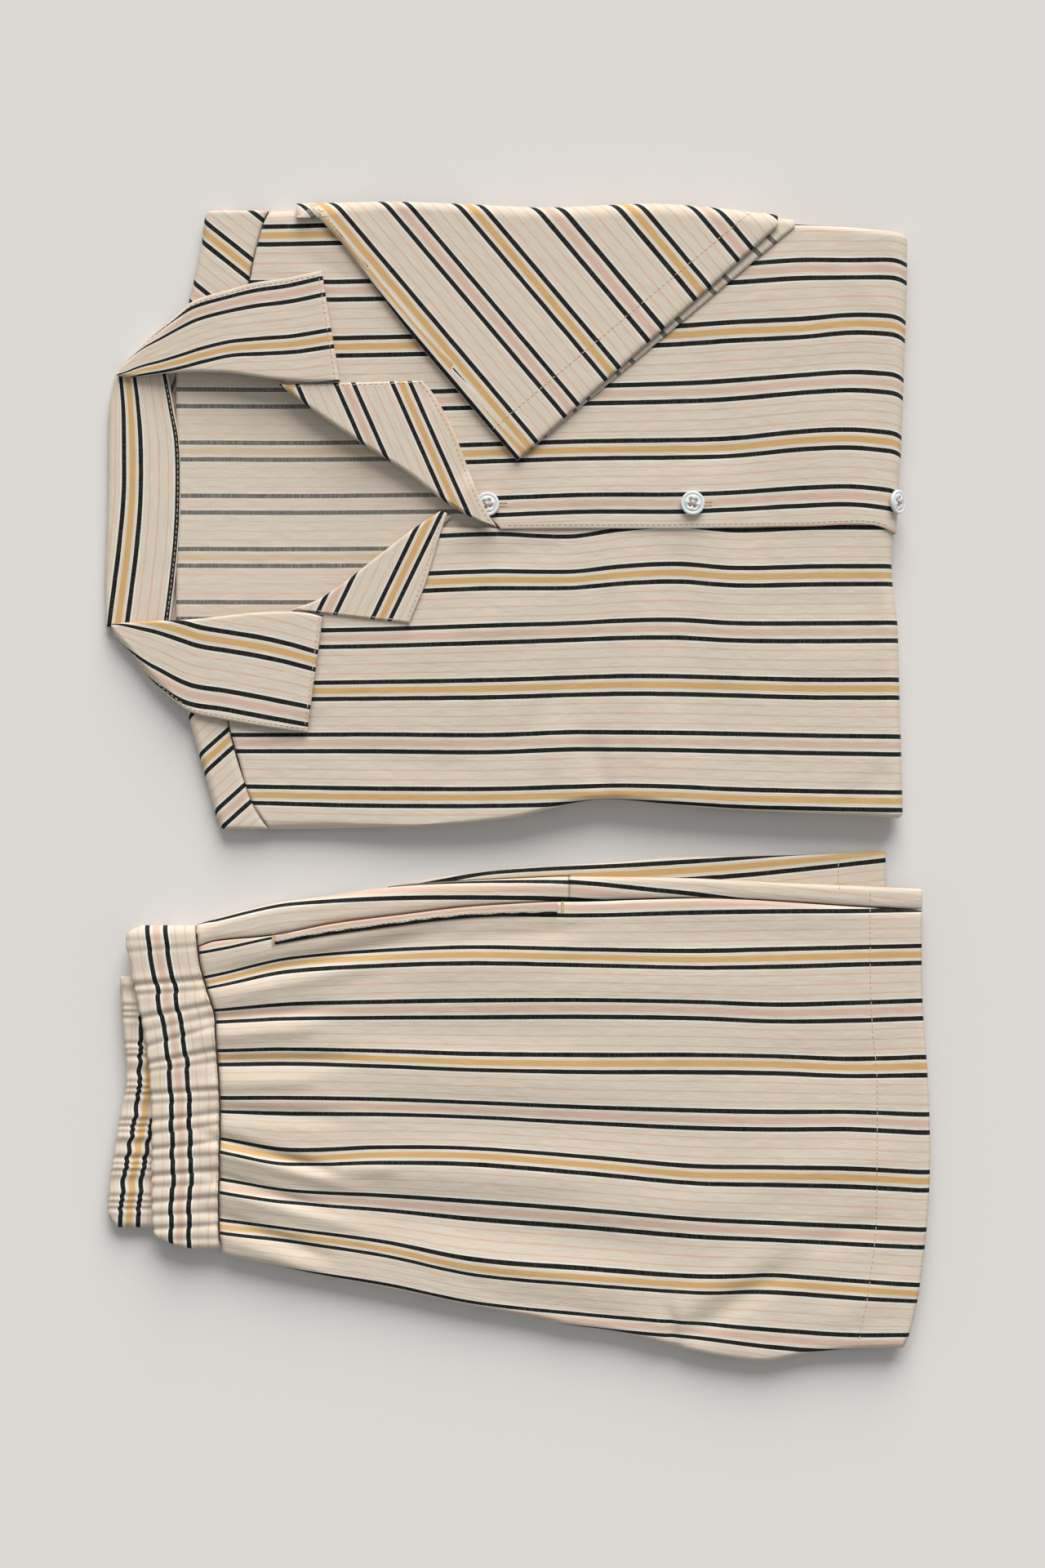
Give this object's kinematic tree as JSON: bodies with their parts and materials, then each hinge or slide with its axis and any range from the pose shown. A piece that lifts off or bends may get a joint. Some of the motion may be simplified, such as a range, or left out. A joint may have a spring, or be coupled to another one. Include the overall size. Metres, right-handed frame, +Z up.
{
  "type": "folded pyjama set, short-sleeved shirt and shorts",
  "caption": "Striped cotton pyjama set folded flat: a camp-collar button shirt, one sleeve laid over its front, above shorts folded along the centre front.",
  "frame": {"origin": "centre of the set's outline on the surface that it lies on", "axes": "+X from the collar and waistband towards the hems, +Y from the shorts to the shirt, +Z up"},
  "size_m": [0.4366, 0.6118, 0.0218],
  "materials": {
    "poplin_striped": "plain-woven cotton poplin, matt, with black, ochre and dusty pink stripes",
    "poplin_wrong_side": "the poplin's wrong side, its stripes greyer and fainter",
    "poplin_gathered_band": "striped cotton poplin gathered over elastic",
    "poplin_folded_layers": "folded layers of the same poplin, seen only at their edges",
    "shell_button": "polished shell-white button with a faint pearl sheen"
  },
  "bodies": {
    "root": {"shirt_front_over": "poplin_striped", "shirt_front_under": "poplin_striped", "shirt_back": "poplin_wrong_side", "shirt_collar_back": "poplin_striped", "shirt_collar_wing_over": "poplin_striped", "shirt_collar_wing_under": "poplin_striped", "shirt_facing_over": "poplin_striped", "shirt_facing_under": "poplin_striped", "shirt_sleeve_over": "poplin_striped", "shirt_sleeve_head_over": "poplin_striped", "shirt_sleeve_head_under": "poplin_striped", "shirt_hidden_folds": "poplin_folded_layers", "button_top": "shell_button", "button_middle": "shell_button", "button_end": "shell_button", "shorts_front_left": "poplin_striped", "shorts_front_right": "poplin_striped", "shorts_back_left": "poplin_striped", "shorts_back_right": "poplin_striped", "shorts_fly": "poplin_striped", "shorts_waistband_front": "poplin_gathered_band", "shorts_waistband_back": "poplin_gathered_band", "shorts_hidden_folds": "poplin_folded_layers"}
  },
  "joints": []
}
